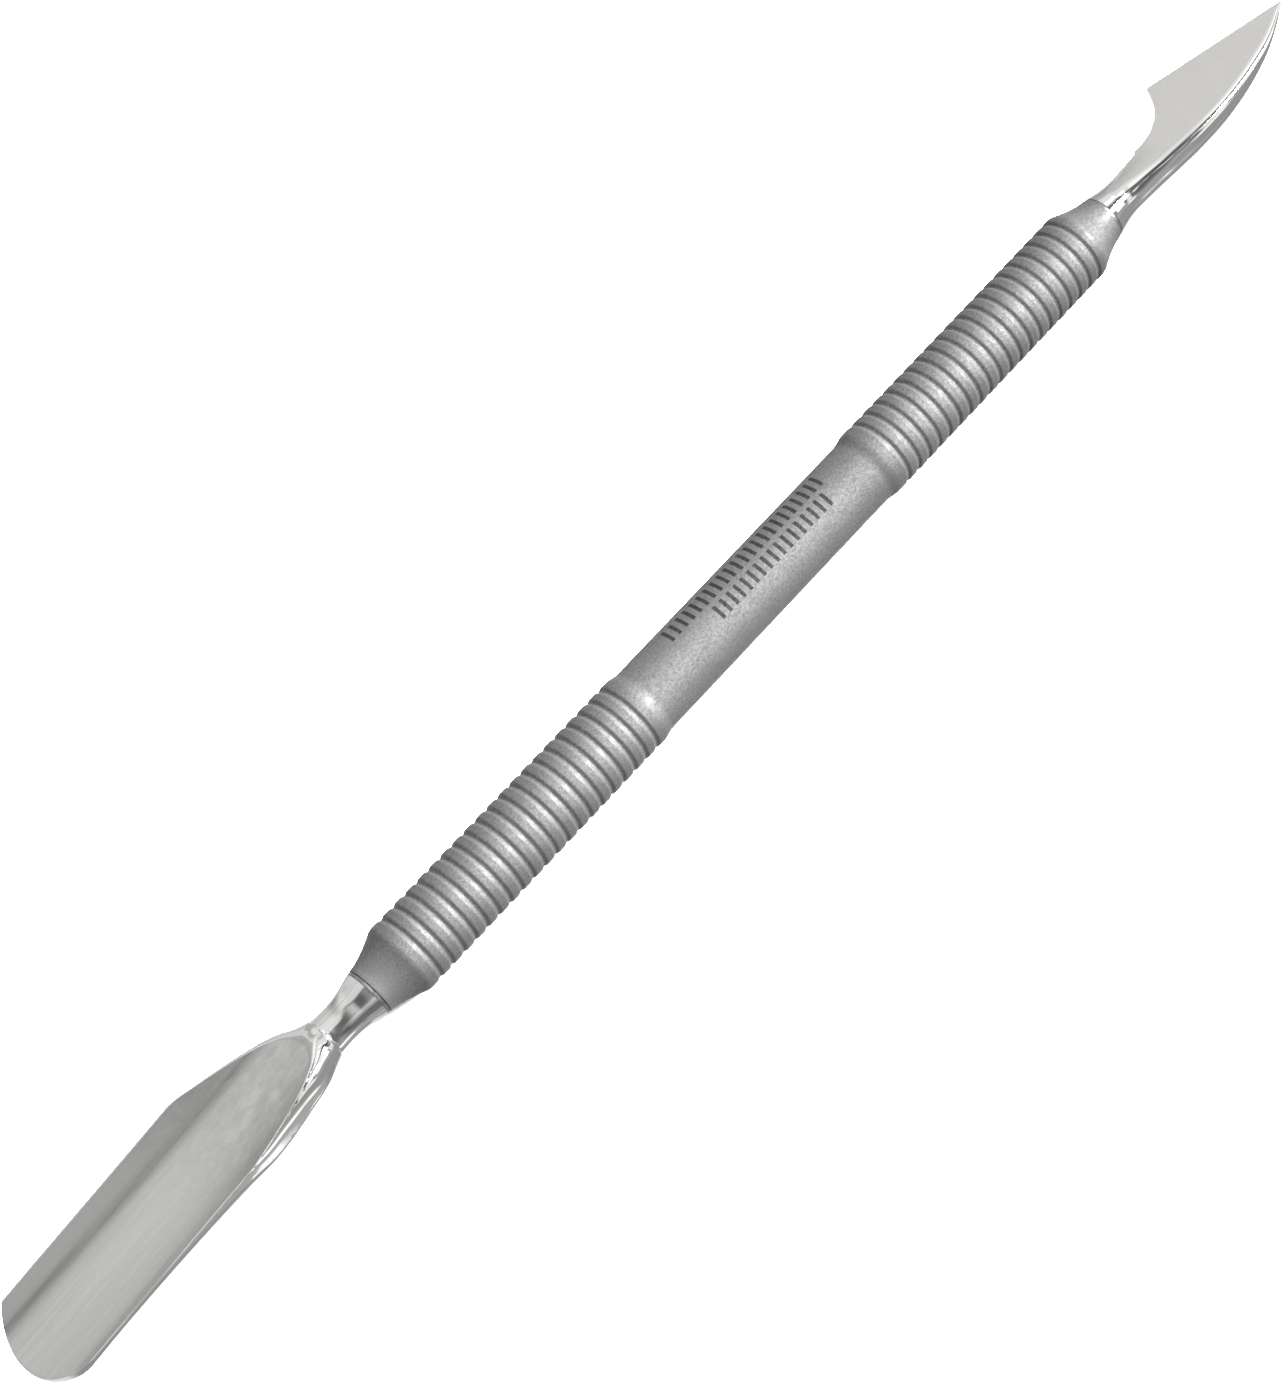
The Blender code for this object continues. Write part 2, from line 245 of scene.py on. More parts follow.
# Lights: degrees from straight up towards -Y, degrees towards the knife's end, distance and size in mm, and
# power in watts.
KEY_LIGHT = (45.0, 47.0, 2000.0, (500.0, 450.0), 150.0)
FLOOR_LIGHT = (0.0, 0.0, 900.0, (1400.0, 1400.0), 120.0)

# Floor: half its side in mm.
FLOOR_HALF = 1500.0


# ---- Mesh helpers ----

def make_object(name, points, faces, slots, materials):
    """An object in the handle frame from points in mm, faces, and a material slot for each face."""
    mesh = bpy.data.meshes.new(name)
    mesh.from_pydata([Vector(point) * MM for point in points], [], faces)
    for material in materials:
        mesh.materials.append(material)
    mesh.polygons.foreach_set("material_index", slots)
    bm = bmesh.new()
    bm.from_mesh(mesh)
    bmesh.ops.remove_doubles(bm, verts=bm.verts, dist=MERGE_DISTANCE * MM)
    bmesh.ops.recalc_face_normals(bm, faces=bm.faces)
    bm.to_mesh(mesh)
    bm.free()
    mesh.shade_smooth()
    mesh.set_sharp_from_angle(angle=SHARP_ANGLE)
    item = bpy.data.objects.new(name, mesh)
    item.location = CENTRE
    bpy.context.scene.collection.objects.link(item)
    return item


def skin(ring_count, ring_size, labels, loop=False):
    """Quads between closed rings that are numbered ring after ring. Labels gives each face's slot."""
    faces = []
    slots = []
    for i in range(ring_count if loop else ring_count - 1):
        here = i * ring_size
        there = (i + 1) % ring_count * ring_size
        for k in range(ring_size):
            after = (k + 1) % ring_size
            faces.append((here + k, here + after, there + after, there + k))
            slots.append(labels(i, k))
    return faces, slots


def lathe(name, outline, segments, labels, materials):
    """Turn a closed outline of (distance, radius) pairs about the tool's axis."""
    points = []
    for distance, radius in outline:
        for k in range(segments):
            angle = math.tau * k / segments
            points.append((distance, -radius * math.sin(angle), radius * math.cos(angle)))
    faces, slots = skin(len(outline), segments, labels, loop=True)
    return make_object(name, points, faces, slots, materials)


def between(stations, x):
    """Smooth cubic through a table of stations: each row is a distance and the values there."""
    last = len(stations) - 1
    i = max(k for k in range(last) if k == 0 or stations[k][0] <= x)
    step = stations[i + 1][0] - stations[i][0]
    t = (x - stations[i][0]) / step
    values = []
    for column in range(1, len(stations[0])):
        start = stations[i][column]
        end = stations[i + 1][column]
        left = end - start
        right = end - start
        if i > 0:
            gap = stations[i][0] - stations[i - 1][0]
            slope = (start - stations[i - 1][column]) / gap * step
            left = (left + slope) / 2 if left * slope > 0 else 0.0
        if i + 2 <= last:
            gap = stations[i + 2][0] - stations[i + 1][0]
            slope = (stations[i + 2][column] - end) / gap * step
            right = (right + slope) / 2 if right * slope > 0 else 0.0
        a = 2 * t ** 3 - 3 * t ** 2 + 1
        b = t ** 3 - 2 * t ** 2 + t
        c = t ** 3 - t ** 2
        values.append(start * a + left * b + end * (1 - a) + right * c)
    return values


def places_along(stops):
    """Distances of an end's sections: up to each stop, evenly spaced and no further apart than its step."""
    places = [NECK_START, NECK_START + NECK_RIM]
    for end, step in stops:
        start = places[-1]
        count = max(1, math.ceil((end - start) / step))
        places += [start + (end - start) * i / count for i in range(1, count + 1)]
    return places


def halved(low, high, holds):
    """Close in on the place between two values where a test starts to hold."""
    for _ in range(HALVINGS):
        middle = (low + high) / 2
        if holds(middle):
            high = middle
        else:
            low = middle
    return low, high


def along(line):
    """Length along a line of points, at each of its points."""
    gaps = np.linalg.norm(np.diff(line, axis=0), axis=1)
    return np.concatenate(([0.0], np.cumsum(gaps)))


def spaced(line, trim_start, trim_end, count):
    """A line cut back at both ends and drawn again with even spaces and a short guard at each end."""
    marks = along(line)
    low = trim_start
    high = marks[-1] - trim_end
    guard = min(CORNER_GUARD, (high - low) / (3 * count))
    wanted = np.concatenate(([low], np.linspace(low + guard, high - guard, count - 1), [high]))
    return np.column_stack([np.interp(wanted, marks, line[:, k]) for k in (0, 1)])


def eased(stations, x):
    """Average of a table's smooth curve over a short window, which takes the last kinks out of it."""
    window = min(EASING, x - stations[0][0], stations[-1][0] - x)
    steps = range(-EASING_STEPS, EASING_STEPS + 1)
    rows = [between(stations, x + window * k / EASING_STEPS) for k in steps]
    return list(np.average(rows, axis=0, weights=[EASING_STEPS + 1 - abs(k) for k in steps]))


def rounded_ring(runs, counts, sizes):
    """Closed section from runs that meet at corners. The corner after each run is rounded to a size."""
    lengths = [along(run)[-1] for run in runs]
    trims = []
    for i, length in enumerate(lengths):
        following = lengths[(i + 1) % len(runs)]
        trims.append(min(sizes[i], LIP_SHARE * length, LIP_SHARE * following))
    pieces = []
    for i, run in enumerate(runs):
        pieces.append(spaced(run, trims[i - 1], trims[i], counts[i]))
    ring = []
    for i, piece in enumerate(pieces):
        ring.extend(piece)
        corner = runs[i][-1]
        start = piece[-1]
        end = pieces[(i + 1) % len(pieces)][0]
        for k in range(1, EDGE_STEPS):
            t = k / EDGE_STEPS
            ring.append(start * (1 - t) ** 2 + corner * 2 * t * (1 - t) + end * t ** 2)
    return ring


def circle(radius, count):
    """Points of a round section as (across, up) pairs."""
    return [(radius * math.cos(math.tau * k / count), radius * math.sin(math.tau * k / count))
            for k in range(count)]


def fan_between(upper, lower, across):
    """Triangles between two chains of points that share both ends, joined in the order of their places."""
    faces = []
    i = 0
    j = 0
    while i < len(upper) - 1 or j < len(lower) - 1:
        take_upper = j == len(lower) - 1
        if i < len(upper) - 1 and j < len(lower) - 1:
            take_upper = across[upper[i + 1]] >= across[lower[j + 1]]
        if take_upper:
            face = (upper[i], upper[i + 1], lower[j])
            i += 1
        else:
            face = (upper[i], lower[j + 1], lower[j])
            j += 1
        if len(set(face)) == 3:
            faces.append(face)
    return faces


# ---- Handle and seam rings ----

def taper_outline():
    """Concave taper at the handle's end, from its rounded rim back to the first crest, with a soft corner."""
    points = [(HANDLE_HALF - back, TUBE_END_RADIUS - drop) for back, drop in RIM]
    climb = CREST_RADIUS - TUBE_END_RADIUS
    for i in range(TAPER_STEPS + 1):
        t = TAPER_BLEND * (i + TAPER_LEAD) / (TAPER_STEPS + TAPER_LEAD)
        points.append((HANDLE_HALF - t * TAPER_LENGTH, TUBE_END_RADIUS + climb * t ** TAPER_POWER))
    start, radius = points[-1]
    slope = TAPER_POWER * climb * TAPER_BLEND ** (TAPER_POWER - 1.0) / TAPER_LENGTH
    rise = CREST_RADIUS - radius
    corner = 2.0 * rise / slope
    for k in range(1, CORNER_STEPS + 1):
        share = 1 - k / CORNER_STEPS
        points.append((start - corner * k / CORNER_STEPS, CREST_RADIUS - rise * share ** 2))
    return points


def groove_outline(centre):
    """One round-bottomed groove with rounded edges, from its outer side to its inner side."""
    points = []
    inner = [-share for share in reversed(GROOVE_SHARES)]
    for share in (*GROOVE_SHARES, 0.0, *inner):
        wave = 0.5 + 0.5 * math.cos(math.pi * min(1.0, abs(share)))
        depth = GROOVE_DEPTH * wave ** GROOVE_FULLNESS
        points.append((centre + share * GROOVE_HALF_WIDTH, CREST_RADIUS - depth))
    return points


def shoulder_outline():
    """Soft step from the last crest down to the waist."""
    points = []
    for i in range(SHOULDER_STEPS + 1):
        t = i / SHOULDER_STEPS
        drop = (1 - math.cos(math.pi * t)) / 2
        radius = CREST_RADIUS + (WAIST_RADIUS - CREST_RADIUS) * drop
        points.append((SHOULDER_OUTER + (SHOULDER_INNER - SHOULDER_OUTER) * t, radius))
    return points


def tick_edges():
    """Distances at which the etched ticks start and end, from the knife's side to the pusher's side."""
    count = round((TICK_ROWS[0][1] - TICK_ROWS[0][0]) / TICK_PITCH)
    edges = []
    for i in range(count + 1):
        start = TICK_ROWS[0][0] + i * TICK_PITCH
        edges += [start, start + TICK_WIDTH]
    return edges[::-1]


def grip_outline(side):
    """Profile of half the handle from its end to the waist. Its grooves sit a little towards the knife."""
    half = taper_outline()
    for i in reversed(range(GROOVES_PER_GRIP)):
        half += groove_outline(FIRST_GROOVE + i * GROOVE_PITCH + side * GROOVE_SHIFT)
    return half + shoulder_outline()


def handle_outline():
    """Whole profile of the handle as (distance, radius) pairs, with its straight bore."""
    waist = [(edge, WAIST_RADIUS) for edge in tick_edges()]
    other = [(-distance, radius) for distance, radius in reversed(grip_outline(-1))]
    bore = [(-HANDLE_HALF, BORE_RADIUS), (0.0, BORE_RADIUS), (HANDLE_HALF, BORE_RADIUS)]
    return grip_outline(1) + waist + other + bore


def is_tick(low, high, segment):
    """True for a cell of the handle's surface that lies inside an etched tick."""
    slack = 0.01
    if abs(high - low - TICK_WIDTH) > slack:
        return False
    place = segment if segment < HANDLE_SEGMENTS / 2 else segment - HANDLE_SEGMENTS
    for start, end, first, last in TICK_ROWS:
        if start - slack <= low and high <= end + slack and first <= place < last:
            return True
    return False


def make_handle(blasted, etched):
    """The ribbed hollow handle with plain etched ticks on its waist."""
    outline = handle_outline()
    slack = 0.001

    def label(i, k):
        start, radius = outline[i]
        end, following = outline[(i + 1) % len(outline)]
        if abs(radius - following) > slack or radius < WAIST_RADIUS - slack:
            return 0
        return 1 if is_tick(end, start, k) else 0

    return lathe("handle", outline, HANDLE_SEGMENTS, label, [blasted, etched])


def make_seam_ring(name, side, radius, braze):
    """A thin braze ring between the handle's end and a neck, with its rims rounded."""
    low = HANDLE_HALF + RING_GAP
    high = low + RING_THICKNESS
    soft = RING_ROUNDING
    rim = [(high, radius - soft), (high - soft, radius), (low + soft, radius), (low, radius - soft)]
    outline = rim + [(low, BORE_RADIUS), (high, BORE_RADIUS)]
    outline = [(side * distance, size) for distance, size in outline]
    return lathe(name, outline, HANDLE_SEGMENTS, lambda i, k: 0, [braze])


# ---- Ends ----

def tang_rings(count):
    """Rings of the tang, from its end to the flat that closes the neck, as (distance, section) pairs."""
    start = HANDLE_HALF - TANG_DEPTH
    end = (start, TANG_RADIUS - TANG_CHAMFER)
    places = (end, (start + TANG_CHAMFER, TANG_RADIUS), (NECK_START, TANG_RADIUS))
    return [(distance, circle(radius, count)) for distance, radius in places]


def lined_up(section, before):
    """Turn a round section's list so that its points lie next to those of another section."""
    ring = np.array(section)
    target = np.array(before)
    choices = []
    for turned in (ring, ring[::-1]):
        for shift in range(len(section)):
            rolled = np.roll(turned, shift, axis=0)
            choices.append((((rolled - target) ** 2).sum(), len(choices), rolled))
    return min(choices)[2]


def hollow_height(x, across):
    """Height of the pusher's ground hollow at a distance along the tool and across it."""
    rise = HOLLOW_RADIUS - np.sqrt(HOLLOW_RADIUS ** 2 - across ** 2)
    bottom = HOLLOW_APEX[1] - (x - HOLLOW_APEX[0]) * math.tan(HOLLOW_TILT)
    return bottom + rise / math.cos(HOLLOW_TILT)


def near_apex(x):
    """One at the start of the pusher's hollow, falling to zero along it."""
    share = 1.0 - (x - HOLLOW_APEX[0]) / APEX_BLEND_LENGTH
    return min(1.0, max(0.0, share)) ** 2


def pusher_values(x):
    """Outline values of the pusher end at a distance along the tool."""
    if x < PUSHER_BLANK[0][0]:
        return between(PUSHER_NECK, x)
    return eased(PUSHER_BLANK, x)


def upper_half(values, angle):
    """Point on the upper half of the pusher's blank, seen at an angle from its middle."""
    width, middle, _, rise, power = values
    c = np.abs(np.cos(angle))
    s = np.abs(np.sin(angle))
    reach = (c ** power + s ** power) ** (-1.0 / power)
    return np.sign(np.cos(angle)) * width * reach * c, middle + rise * reach * s


def hollow_corner(x, values):
    """Angle at which the ground hollow leaves the blank: straight up where it doesn't reach it."""
    def above(angle):
        across, up = upper_half(values, angle)
        return up > hollow_height(x, across)

    straight_up = math.pi / 2
    if upper_half(values, straight_up)[1] <= hollow_height(x, 0.0):
        return straight_up
    return halved(0.0, straight_up, above)[0]


def blended(x, values, point):
    """A point of the pusher's section, lowered where the hollow and the blank run into one another."""
    width, middle, _, rise, power = values
    reach = APEX_BLEND * near_apex(x)
    across, up = point
    if up <= middle or reach <= 0.0 or x < PUSHER_BLANK[0][0]:
        return point
    share = min(1.0, abs(across) / width)
    blank = middle + rise * (1.0 - share ** power) ** (1.0 / power)
    gap = max(0.0, reach - abs(blank - hollow_height(x, across))) / reach
    return np.array((across, up - reach * gap ** 2 / 4))


def pusher_ring(x):
    """Section of the pusher: the hollow face from +Y to -Y, then the back around below it."""
    values = pusher_values(x)
    corner = hollow_corner(x, values)
    across, up = upper_half(values, corner)
    on_face, on_wall, below = PUSHER_SAMPLES
    ys = np.zeros(on_face)
    zs = np.full(on_face, up)
    if corner < math.pi / 2:
        ys = np.linspace(across, -across, on_face)
        zs = hollow_height(x, ys)
    zs[0] = up
    zs[-1] = up
    face = np.column_stack((ys, zs))
    right = np.column_stack(upper_half(values, np.linspace(corner, 0.0, on_wall)))
    under = np.linspace(0.0, -math.pi, below)[1:-1]
    width, middle, depth, _, _ = values
    bottom = np.column_stack((width * np.cos(under), middle + depth * np.sin(under)))
    left = right[::-1] * np.array((-1.0, 1.0))
    back = np.concatenate((left, bottom[::-1], right[::-1]))
    back[0] = face[-1]
    back[-1] = face[0]
    lip = PUSHER_LIP + APEX_LIP * near_apex(x)
    ring = rounded_ring((face, back), PUSHER_COUNTS, (lip, lip))
    return [blended(x, values, point) for point in ring]


def tip_distance(across):
    """Distance of the tip's plan outline at a place across the blade."""
    return PUSHER_TIP - TIP_RADIUS + math.sqrt(TIP_RADIUS ** 2 - (across - TIP_OFFSET) ** 2)


def back_height(x, across):
    """Height of the underside of the pusher's blade."""
    width, middle, depth, _, _ = pusher_values(x)
    return middle - depth * math.sqrt(max(0.0, 1.0 - (across / width) ** 2))


def tip_ring(share, turn, ring):
    """A section near the tip, bent towards its plan outline. Turn is the angle around the edge's rounding."""
    points = []
    thinnest = 0.01
    for across, up in ring:
        reach = tip_distance(across) - TIP_ROUNDING
        x = TIP_ROWS_START + (reach - TIP_ROWS_START) * share
        drop = TIP_ROUNDING * (1 - math.cos(turn))
        low = back_height(TIP_ROWS_START, across)
        high = hollow_height(TIP_ROWS_START, across)
        part = (up - low) / max(high - low, thinnest)
        new_low = back_height(x, across) + drop
        new_high = hollow_height(x, across) - drop
        x += TIP_ROUNDING * math.sin(turn)
        points.append((-x, across, new_low + part * (new_high - new_low)))
    return points


def tip_cap(points, start, size):
    """Triangles that close the tip's last ring, between its upper and its lower chain of points."""
    loop = list(range(start, start + size))
    across = {k: points[k][1] for k in loop}
    right = max(loop, key=lambda k: across[k])
    left = min(loop, key=lambda k: across[k])
    turn = loop[loop.index(right):] + loop[:loop.index(right)] + [right]
    cut = turn.index(left)
    return fan_between(turn[:cut + 1], turn[cut:][::-1], across)


def tang_and_end(sections, side):
    """Rings of the tang and then of an end's sections, on the tool's side that the sign of side gives."""
    first = sections[0][1]
    tang = [(x, lined_up(section, first)) for x, section in tang_rings(len(first))]
    return [[(side * x, y, z) for y, z in section] for x, section in tang + sections]


def make_pusher(polished, ground):
    """The pusher end in one forging: tang, neck, shoulder, hollow-ground blade and rounded tip."""
    places = places_along(PUSHER_STOPS)
    sections = [(x, pusher_ring(x)) for x in places]
    rings = tang_and_end(sections, -1)
    last = sections[-1][1]
    size = len(last)
    face_start = len(rings) - sum(1 for x in places if x >= FACE_START)
    for i in range(1, TIP_ROWS + 1):
        rings.append(tip_ring(i / TIP_ROWS, 0.0, last))
    for i in range(1, EDGE_STEPS + 1):
        rings.append(tip_ring(1.0, math.pi / 2 * i / EDGE_STEPS, last))
    face_end = PUSHER_COUNTS[0]
    faces, slots = skin(len(rings), size, lambda i, k: 1 if k < face_end and i >= face_start else 0)
    points = [point for ring in rings for point in ring]
    caps = [tuple(range(size))] + tip_cap(points, (len(rings) - 1) * size, size)
    faces += caps
    slots += [0] * len(caps)
    return make_object("pusher", points, faces, slots, [polished, ground])


def knife_face_height(x):
    """Height of the knife's flat ground face, with the wheel's run-out at its start."""
    plane = KNIFE_FACE_POINT[1] - (x - KNIFE_FACE_POINT[0]) * math.tan(KNIFE_TILT)
    return plane + RUN_OUT_RISE * max(0.0, RUN_OUT_START - x) ** 2


def notch_limit(x):
    """How far the notch lets the knife reach at a distance along it: no limit beside the notch."""
    room = NOTCH_RADIUS ** 2 - (x - NOTCH_CENTRE[0]) ** 2
    return NOTCH_CENTRE[1] - math.sqrt(room) if room > 0 else NO_LIMIT


def drawn_out(radius, corner, angle):
    """Radius at an angle of a circle that is drawn out by tangents to a corner."""
    far = max(corner.length, radius)
    spread = math.acos(radius / far)
    away = angle - math.atan2(corner.y, corner.x)
    away = abs((away + math.pi) % math.tau - math.pi)
    return radius / math.cos(spread - away) if away < spread else radius


def knife_radius(values, x, angle):
    """Distance from the spine's centre to the knife's surface at an angle, and the surface that it meets."""
    across, up, radius, reach = values
    c = math.cos(angle)
    s = math.sin(angle)
    top = knife_face_height(x) - up
    side = min(reach, notch_limit(x)) - across
    low_corner = Vector((reach - across, top - EDGE_LAND))
    high_corner = Vector((reach - across, top + EDGE_RISE))
    low_angle = math.atan2(low_corner.y, low_corner.x)
    high_angle = math.atan2(high_corner.y, high_corner.x)
    has_edge = low_corner.length > radius and reach > across + radius * BLADE_SHARE
    if not has_edge:
        blank = radius
        side = notch_limit(x) - across
    elif low_angle < angle < high_angle:
        blank = NO_LIMIT
    elif angle <= low_angle or angle > math.pi:
        blank = drawn_out(radius, low_corner, angle)
    else:
        blank = drawn_out(radius, high_corner, angle)
    choices = [(blank, "blank")]
    tiny = 1e-9
    if s > tiny:
        choices.append((top / s, "face"))
    if c > tiny:
        choices.append((side / c, "side"))
    return min(choices)


def border(values, x, low, high, label):
    """Angle between two angles at which the knife's surface changes to or from a labelled one."""
    starts = knife_radius(values, x, low)[1] == label
    edges = halved(low, high, lambda angle: (knife_radius(values, x, angle)[1] == label) != starts)
    return sum(edges) / 2


def knife_corners(values, x):
    """Angles of the corners of the knife's section: side's foot, face's right end and face's left end."""
    foot = 0.0
    right = math.pi / 2
    left = math.pi / 2
    start, step, count = SCAN
    scan = [math.radians(start + step * k) for k in range(count)]
    labels = [knife_radius(values, x, angle)[1] for angle in scan]
    if "side" in labels:
        i = labels.index("side")
        foot = border(values, x, scan[i - 1], scan[i], "side")
    if "face" in labels:
        i = labels.index("face")
        right = border(values, x, scan[i - 1], scan[i], "face")
        j = len(labels) - 1 - labels[::-1].index("face")
        left = border(values, x, scan[j], scan[j + 1], "face")
    return foot, right, left


def knife_run(values, x, start, end, count):
    """Points of the knife's surface between two angles."""
    across, up = values[0], values[1]
    points = []
    for angle in np.linspace(start, end, count):
        wrapped = (angle + math.pi / 2) % math.tau - math.pi / 2
        radius = knife_radius(values, x, wrapped)[0]
        points.append((across + radius * math.cos(angle), up + radius * math.sin(angle)))
    return np.array(points)


def knife_ring(x):
    """Section of the knife: its side or edge, the flat face, then the back around the spine."""
    values = eased(KNIFE_BLANK, x)[:3] + between(KNIFE_BLANK, x)[3:]
    foot, right, left = knife_corners(values, x)
    on_side, on_face, on_back = KNIFE_SAMPLES
    side = knife_run(values, x, foot, right, on_side)
    face = knife_run(values, x, right, left, on_face)
    back = knife_run(values, x, left, foot + math.tau, on_back)
    face[0] = side[-1]
    back[0] = face[-1]
    back[-1] = side[0]
    return rounded_ring((side, face, back), KNIFE_COUNTS, (SHARP_EDGE, KNIFE_LIP, SHARP_EDGE))


def heel_distance():
    """Distance at which the notch meets the cutting edge."""
    def past_edge(x):
        return notch_limit(x) >= between(KNIFE_BLANK, x)[3]

    almost = 0.999
    start = NOTCH_CENTRE[0]
    return halved(start, start + NOTCH_RADIUS * almost, past_edge)[0]


def make_knife(polished, ground):
    """The knife end in one forging: tang, neck, notch, round spine and flat-ground blade."""
    heel = heel_distance()
    heel_stops = tuple((heel + offset, step) for offset, step in HEEL_STOPS)
    places = places_along(KNIFE_STOPS + heel_stops + BLADE_STOPS)
    sections = [(x, knife_ring(x)) for x in places]
    rings = tang_and_end(sections, 1)
    size = len(rings[0])
    neck = len(rings) - len(sections)
    face_start = KNIFE_COUNTS[0] + EDGE_STEPS
    face_end = face_start + KNIFE_COUNTS[1]
    faces, slots = skin(len(rings), size, lambda i, k: 1 if face_start <= k < face_end and i > neck else 0)
    points = [point for ring in rings for point in ring]
    for start in (0, (len(rings) - 1) * size):
        faces.append(tuple(range(start, start + size)))
        slots.append(0)
    return make_object("knife", points, faces, slots, [polished, ground])


# ---- Materials ----

# Dark and light colours of the metals, and of the floor.
BLASTED = ((0.163, 0.1615, 0.1625), (0.26, 0.2575, 0.259))
ETCHED = ((0.03, 0.03, 0.033), (0.09, 0.09, 0.095))
POLISHED = ((0.79, 0.785, 0.775), (0.83, 0.825, 0.815))
HOLLOW_GROUND = ((0.575, 0.57, 0.558), (0.63, 0.625, 0.612))
HOLLOW_CLOUD = (0.50, 0.495, 0.486)
FLAT_GROUND = ((0.66, 0.653, 0.63), (0.695, 0.687, 0.662))
# Colour of the painted shade at the start of the knife's flat face.
FLAT_FACE_PAINTED_SHADE = (0.50, 0.495, 0.48)
BRAZE = ((0.25, 0.247, 0.244), (0.36, 0.356, 0.352))
PALE = (0.93, 0.93, 0.93)

# Thin clear passivation film on the blasted steel: its share, and its roughness.
GLAZE = 0.14
GLAZE_ROUGHNESS = 0.27

# The handle's crests are rubbed smoother over this height below their tops, in mm.
CREST_BAND = 0.14

# Where the finishes change along the tool, and where painted light and shade fade, in mm.
PUSHER_TAPER_PAINTED_LIGHT = (-39.5, -38.0)
NECK_FADE_IN = (-46.0, -45.2)
NECK_FADE_OUT = (0.0, 10.0)
CLOUD_FADE = (-61.0, -53.0)
FLAT_FACE_SHADE_FADE = (45.0, 49.0)


class Nodes:
    """A node tree whose nodes are added one by one."""

    def __init__(self, tree):
        self.tree = tree

    def add(self, kind, **settings):
        """Add a node and set its properties."""
        node = self.tree.nodes.new(kind)
        for key, value in settings.items():
            setattr(node, key, value)
        return node

    def feed(self, socket, value):
        """Link a socket to a value's socket, or set it to a number or a colour."""
        if isinstance(value, bpy.types.NodeSocket):
            self.tree.links.new(value, socket)
        elif isinstance(value, tuple):
            socket.default_value = (*value, 1.0)
        else:
            socket.default_value = value

    def math(self, operation, first, second=0.0, clamp=False):
        """One step of arithmetic."""
        node = self.add("ShaderNodeMath", operation=operation, use_clamp=clamp)
        self.feed(node.inputs[0], first)
        self.feed(node.inputs[1], second)
        return node.outputs[0]

    def ranged(self, value, low, high, to_low, to_high, kind="LINEAR"):
        """A value's range drawn onto another range, held at its ends."""
        node = self.add("ShaderNodeMapRange", interpolation_type=kind)
        self.feed(node.inputs["Value"], value)
        ends = {"From Min": low, "From Max": high, "To Min": to_low, "To Max": to_high}
        for name, number in ends.items():
            node.inputs[name].default_value = number
        return node.outputs["Result"]


class Finish(Nodes):
    """A Principled metal. Coordinates are in mm in the handle frame."""

    def __init__(self, name):
        self.material = bpy.data.materials.new(name)
        self.material.use_nodes = True
        super().__init__(self.material.node_tree)
        self.shader = self.tree.nodes["Principled BSDF"]
        self.shader.inputs["Metallic"].default_value = 1.0
        coordinates = self.add("ShaderNodeTexCoord")
        self.place = self.scaled(coordinates.outputs["Object"], (1 / MM, 1 / MM, 1 / MM))

    def scaled(self, vector, scale):
        """A vector multiplied by a scale for each axis."""
        node = self.add("ShaderNodeVectorMath", operation="MULTIPLY")
        self.feed(node.inputs[0], vector)
        node.inputs[1].default_value = scale
        return node.outputs[0]

    def noise(self, scale, detail=2.0, stretch=(1.0, 1.0, 1.0), roughness=0.5):
        """Noise with a number of cells for each mm."""
        node = self.add("ShaderNodeTexNoise")
        self.feed(node.inputs["Vector"], self.scaled(self.place, stretch))
        node.inputs["Scale"].default_value = scale
        node.inputs["Detail"].default_value = detail
        node.inputs["Roughness"].default_value = roughness
        return node.outputs["Fac"]

    def cells(self, scale):
        """A random value for each cell of a grain, with a number of cells for each mm."""
        node = self.add("ShaderNodeTexVoronoi")
        self.feed(node.inputs["Vector"], self.place)
        node.inputs["Scale"].default_value = scale
        split = self.add("ShaderNodeSeparateColor")
        self.tree.links.new(node.outputs["Color"], split.inputs["Color"])
        return split.outputs["Red"]

    def mixed(self, share, first, second):
        """Two colours mixed by a share."""
        node = self.add("ShaderNodeMix", data_type="RGBA")
        self.feed(node.inputs["Factor"], share)
        self.feed(node.inputs[6], first)
        self.feed(node.inputs[7], second)
        return node.outputs[2]

    def axis(self, name):
        """One coordinate in mm."""
        split = self.add("ShaderNodeSeparateXYZ")
        self.feed(split.inputs[0], self.place)
        return split.outputs[name]

    def radius(self):
        """Distance from the handle's axis, in mm."""
        across = self.math("POWER", self.axis("Y"), 2.0)
        up = self.math("POWER", self.axis("Z"), 2.0)
        return self.math("SQRT", self.math("ADD", across, up))

    def along(self, low, high, to_low, to_high):
        """A value that changes between two distances along the tool."""
        return self.ranged(self.axis("X"), low, high, to_low, to_high)

    def colour(self, value):
        """Set the base colour."""
        self.feed(self.shader.inputs["Base Color"], value)

    def roughness(self, value):
        """Set the roughness."""
        self.feed(self.shader.inputs["Roughness"], value)

    def bump(self, height, depth_mm, strength=1.0, under=None):
        """Add a bump of a depth in mm. Under is the normal of a bump below it."""
        node = self.add("ShaderNodeBump")
        node.inputs["Strength"].default_value = strength
        node.inputs["Distance"].default_value = depth_mm * MM
        self.feed(node.inputs["Height"], height)
        if under is not None:
            self.feed(node.inputs["Normal"], under)
        self.feed(self.shader.inputs["Normal"], node.outputs["Normal"])
        return node.outputs["Normal"]


